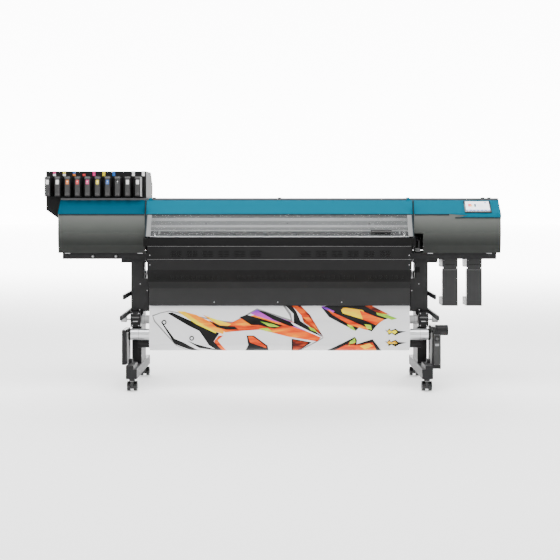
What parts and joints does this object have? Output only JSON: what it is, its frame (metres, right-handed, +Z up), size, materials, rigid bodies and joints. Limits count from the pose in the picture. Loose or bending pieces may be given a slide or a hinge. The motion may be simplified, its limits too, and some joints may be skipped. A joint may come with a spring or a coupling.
{
  "type": "printer cutter",
  "caption": "Wide roll-fed printer and cutter on a caster stand, with a hinged front cover, dryer, ink cartridge rack and a media take-up with a tension bar.",
  "frame": {"origin": "on the floor, at the middle of the machine's length and depth", "axes": "+X along the machine to the operator's right, +Y from the operator's side to the supply roll, +Z up"},
  "size_m": [2.896, 0.745, 1.37],
  "materials": {
    "black_steel": "fine textured powder coat",
    "grey_cover": "satin metallic grey",
    "teal_cover": "satin metallic teal",
    "black_plastic": "fine moulded texture",
    "window": "clear acrylic",
    "light_frame": "satin light grey",
    "beam_aluminium": "brushed, anodised",
    "roller_steel": "turned",
    "roller_rubber": "matte",
    "core_tube": "light grey tube",
    "arm_grey": "light grey paint",
    "caster_black": "glossy black nylon",
    "print_vinyl": "white gloss vinyl with a colour print",
    "ink_case": "satin black",
    "bottle": "translucent light grey",
    "screen": "dark glass touch screen"
  },
  "bodies": {
    "machine": {"stand_legs": "black_steel", "stand_feet": "black_steel", "leg_covers": "black_plastic", "stand_crossbars": "black_steel", "chassis_pan": "black_steel", "side_cover_left": "grey_cover", "side_cover_right": "grey_cover", "top_band_left": "teal_cover", "top_band_right": "teal_cover", "roof_cover": "black_plastic", "rear_cover": "grey_cover", "power_inlet": "black_plastic", "touch_panel": "screen", "platen": "beam_aluminium", "guide_beam": "beam_aluminium", "dryer_housing": "black_steel", "rear_apron": "black_steel", "ink_rack": "black_plastic", "ink_rack_bracket": "black_plastic", "drain_holders": "black_steel", "drain_bottles": "bottle", "takeup_end_blocks": "black_plastic", "takeup_drive_box": "black_plastic", "takeup_cover": "black_plastic", "media_sheet": "print_vinyl", "capping_station": "black_plastic", "side_hooks": "black_steel", "supply_brackets": "black_steel"},
    "front_cover": {"cover_band": "teal_cover", "cover_window": "window", "cover_ends": "light_frame", "cover_handle": "black_plastic"},
    "print_carriage": {"print_carriage": "black_plastic"},
    "cutting_carriage": {"cutting_carriage": "black_plastic"},
    "grit_rollers": {"grit_rollers": "roller_steel"},
    "pinch_rollers": {"pinch_rollers": "roller_rubber"},
    "load_lever": {"load_lever": "black_plastic"},
    "takeup_core": {"takeup_core": "core_tube"},
    "dancer_arms": {"dancer_arms": "arm_grey"},
    "tension_bar": {"tension_bar": "beam_aluminium"},
    "supply": {"supply_roll": "print_vinyl", "supply_shaft": "roller_steel"},
    "caster_fork_front_left": {"caster_fork_front_left": "caster_black"},
    "caster_wheels_front_left": {"caster_wheels_front_left": "caster_black"},
    "caster_fork_front_right": {"caster_fork_front_right": "caster_black"},
    "caster_wheels_front_right": {"caster_wheels_front_right": "caster_black"},
    "caster_fork_rear_left": {"caster_fork_rear_left": "caster_black"},
    "caster_wheels_rear_left": {"caster_wheels_rear_left": "caster_black"},
    "caster_fork_rear_right": {"caster_fork_rear_right": "caster_black"},
    "caster_wheels_rear_right": {"caster_wheels_rear_right": "caster_black"},
    "ink_cartridge_01": {"ink_cartridge_01": "ink_case"},
    "ink_cartridge_02": {"ink_cartridge_02": "ink_case"},
    "ink_cartridge_03": {"ink_cartridge_03": "ink_case"},
    "ink_cartridge_04": {"ink_cartridge_04": "ink_case"},
    "ink_cartridge_05": {"ink_cartridge_05": "ink_case"},
    "ink_cartridge_06": {"ink_cartridge_06": "ink_case"},
    "ink_cartridge_07": {"ink_cartridge_07": "ink_case"},
    "ink_cartridge_08": {"ink_cartridge_08": "ink_case"},
    "ink_cartridge_09": {"ink_cartridge_09": "ink_case"},
    "ink_cartridge_10": {"ink_cartridge_10": "ink_case"}
  },
  "joints": [
    {"name": "front_cover_hinge", "type": "hinge", "parent": "machine", "child": "front_cover", "pos_m": [0.054, -0.14, 1.19], "axis": [-1, 0, 0], "range_deg": [0, 75]},
    {"name": "print_carriage_travel", "type": "slide", "parent": "machine", "child": "print_carriage", "axis": [1, 0, 0], "range_m": [-1.9, 0]},
    {"name": "cutting_carriage_travel", "type": "slide", "parent": "machine", "child": "cutting_carriage", "axis": [1, 0, 0], "range_m": [0, 1.9]},
    {"name": "grit_roller_spin", "type": "hinge", "parent": "machine", "child": "grit_rollers", "pos_m": [0.054, -0.028, 0.94315], "axis": [1, 0, 0], "continuous": true},
    {"name": "load_lever_turn", "type": "hinge", "parent": "machine", "child": "load_lever", "pos_m": [0.926, -0.118, 0.935], "axis": [-1, 0, 0], "range_deg": [0, 50]},
    {"name": "pinch_roller_lift", "type": "hinge", "parent": "machine", "child": "pinch_rollers", "pos_m": [0.054, 0.017, 0.972], "axis": [-1, 0, 0], "range_deg": [0, 8]},
    {"name": "takeup_core_spin", "type": "hinge", "parent": "machine", "child": "takeup_core", "pos_m": [0.054, -0.138, 0.424], "axis": [1, 0, 0], "continuous": true},
    {"name": "dancer_arm_swing", "type": "hinge", "parent": "machine", "child": "dancer_arms", "pos_m": [0.054, -0.213, 0.165], "axis": [-1, 0, 0], "range_deg": [0, 15]},
    {"name": "tension_bar_spin", "type": "hinge", "parent": "dancer_arms", "child": "tension_bar", "pos_m": [0.054, -0.228, 0.34], "axis": [1, 0, 0], "continuous": true},
    {"name": "supply_roll_spin", "type": "hinge", "parent": "machine", "child": "supply", "pos_m": [0.054, 0.272, 0.69], "axis": [1, 0, 0], "continuous": true},
    {"name": "caster_swivel_front_left", "type": "hinge", "parent": "machine", "child": "caster_fork_front_left", "pos_m": [-0.8586, -0.328, 0.078], "axis": [0, 0, 1], "continuous": true},
    {"name": "caster_roll_front_left", "type": "hinge", "parent": "caster_fork_front_left", "child": "caster_wheels_front_left", "pos_m": [-0.8586, -0.312, 0.03], "axis": [1, 0, 0], "continuous": true},
    {"name": "caster_swivel_front_right", "type": "hinge", "parent": "machine", "child": "caster_fork_front_right", "pos_m": [0.9666, -0.328, 0.078], "axis": [0, 0, 1], "continuous": true},
    {"name": "caster_roll_front_right", "type": "hinge", "parent": "caster_fork_front_right", "child": "caster_wheels_front_right", "pos_m": [0.9666, -0.312, 0.03], "axis": [1, 0, 0], "continuous": true},
    {"name": "caster_swivel_rear_left", "type": "hinge", "parent": "machine", "child": "caster_fork_rear_left", "pos_m": [-0.8586, 0.272, 0.078], "axis": [0, 0, 1], "continuous": true},
    {"name": "caster_roll_rear_left", "type": "hinge", "parent": "caster_fork_rear_left", "child": "caster_wheels_rear_left", "pos_m": [-0.8586, 0.288, 0.03], "axis": [1, 0, 0], "continuous": true},
    {"name": "caster_swivel_rear_right", "type": "hinge", "parent": "machine", "child": "caster_fork_rear_right", "pos_m": [0.9666, 0.272, 0.078], "axis": [0, 0, 1], "continuous": true},
    {"name": "caster_roll_rear_right", "type": "hinge", "parent": "caster_fork_rear_right", "child": "caster_wheels_rear_right", "pos_m": [0.9666, 0.288, 0.03], "axis": [1, 0, 0], "continuous": true},
    {"name": "ink_cartridge_pull_01", "type": "slide", "parent": "machine", "child": "ink_cartridge_01", "axis": [0, -1, 0], "range_m": [0, 0.19]},
    {"name": "ink_cartridge_pull_02", "type": "slide", "parent": "machine", "child": "ink_cartridge_02", "axis": [0, -1, 0], "range_m": [0, 0.19]},
    {"name": "ink_cartridge_pull_03", "type": "slide", "parent": "machine", "child": "ink_cartridge_03", "axis": [0, -1, 0], "range_m": [0, 0.19]},
    {"name": "ink_cartridge_pull_04", "type": "slide", "parent": "machine", "child": "ink_cartridge_04", "axis": [0, -1, 0], "range_m": [0, 0.19]},
    {"name": "ink_cartridge_pull_05", "type": "slide", "parent": "machine", "child": "ink_cartridge_05", "axis": [0, -1, 0], "range_m": [0, 0.19]},
    {"name": "ink_cartridge_pull_06", "type": "slide", "parent": "machine", "child": "ink_cartridge_06", "axis": [0, -1, 0], "range_m": [0, 0.19]},
    {"name": "ink_cartridge_pull_07", "type": "slide", "parent": "machine", "child": "ink_cartridge_07", "axis": [0, -1, 0], "range_m": [0, 0.19]},
    {"name": "ink_cartridge_pull_08", "type": "slide", "parent": "machine", "child": "ink_cartridge_08", "axis": [0, -1, 0], "range_m": [0, 0.19]},
    {"name": "ink_cartridge_pull_09", "type": "slide", "parent": "machine", "child": "ink_cartridge_09", "axis": [0, -1, 0], "range_m": [0, 0.19]},
    {"name": "ink_cartridge_pull_10", "type": "slide", "parent": "machine", "child": "ink_cartridge_10", "axis": [0, -1, 0], "range_m": [0, 0.19]}
  ],
  "couplings": [
    {"joint": "pinch_roller_lift", "follows": "load_lever_turn", "ratio": 0.16}
  ]
}
